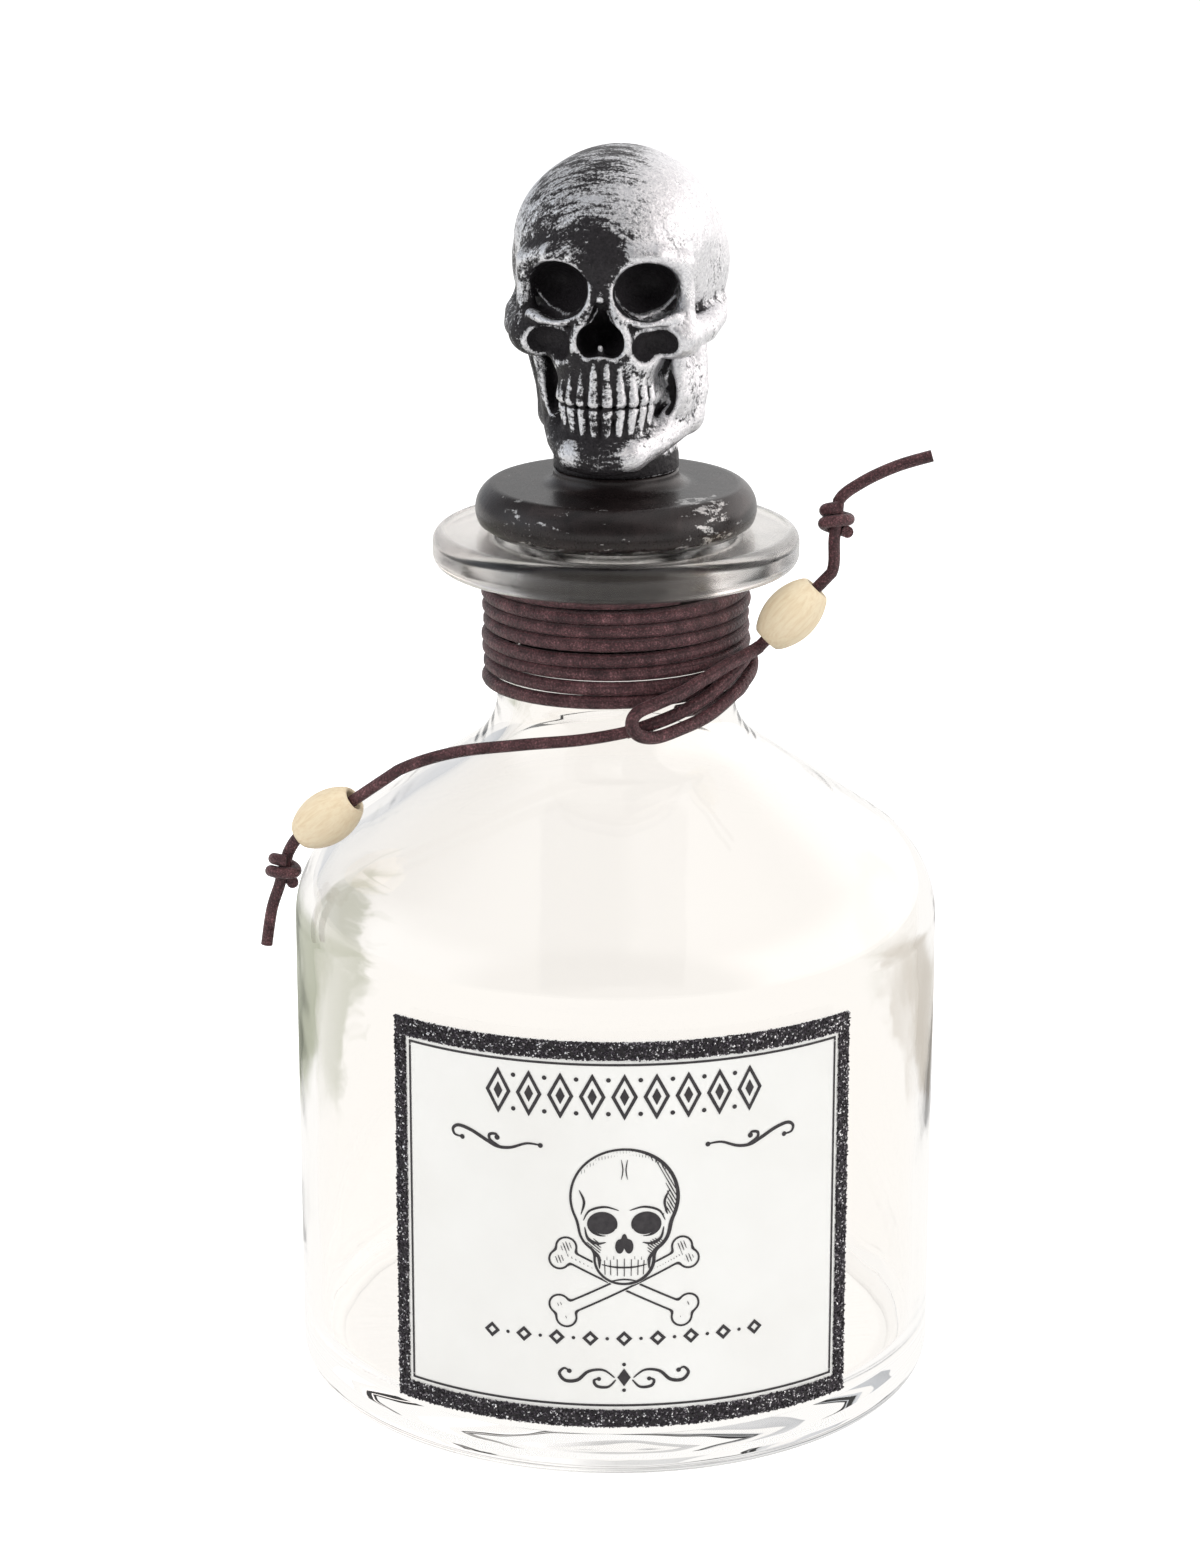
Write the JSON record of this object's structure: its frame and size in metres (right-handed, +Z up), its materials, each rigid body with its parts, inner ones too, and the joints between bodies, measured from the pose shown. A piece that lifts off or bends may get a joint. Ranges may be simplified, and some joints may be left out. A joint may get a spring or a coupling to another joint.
{
  "type": "poison bottle with skull stopper",
  "caption": "Decorative round glass bottle with a lift-out skull stopper, a framed paper label and a waxed cord tied round its neck with a wooden bead on each tail.",
  "frame": {"origin": "centre of the base, on the surface that the bottle stands on", "axes": "+Z up along the bottle's axis; the label faces -Y; +X is the viewer's right"},
  "size_m": [0.1152, 0.111, 0.213],
  "materials": {
    "clear_glass": "polished",
    "paper": "matt paper",
    "dark_grit": "glitter grit",
    "ink": "printed",
    "waxed_cord": "waxed cotton",
    "natural_wood": "bare, sanded",
    "silicone": "satin",
    "black_resin": "satin",
    "silvered_resin": "dry-brushed silver over black",
    "steel": "turned"
  },
  "bodies": {
    "bottle": {"glass_bottle": "clear_glass", "label_paper": "paper", "label_border": "dark_grit", "label_print": "ink", "cord_winding": "waxed_cord", "tie_knot": "waxed_cord", "left_tail": "waxed_cord", "left_end_knot": "waxed_cord", "right_tail": "waxed_cord", "right_end_knot": "waxed_cord"},
    "left_bead": {"left_bead": "natural_wood"},
    "right_bead": {"right_bead": "natural_wood"},
    "seal": {"upper_seal_ring": "silicone", "lower_seal_ring": "silicone"},
    "stopper": {"plug": "black_resin", "dowel": "steel", "stopper_disc": "black_resin", "skull": "silvered_resin"}
  },
  "joints": [
    {"name": "stopper_lift", "type": "slide", "parent": "bottle", "child": "seal", "axis": [0, 0, 1], "range_m": [0, 0.06]},
    {"name": "stopper_turn", "type": "hinge", "parent": "seal", "child": "stopper", "pos_m": [0, 0, 0.15], "axis": [0, 0, 1], "continuous": true},
    {"name": "left_bead_slide", "type": "slide", "parent": "bottle", "child": "left_bead", "axis": [0.773, -0.2247, 0.5932], "range_m": [0, 0.008]},
    {"name": "right_bead_slide", "type": "slide", "parent": "bottle", "child": "right_bead", "axis": [0.6886, 0.0467, 0.7236], "range_m": [0, 0.003]}
  ]
}
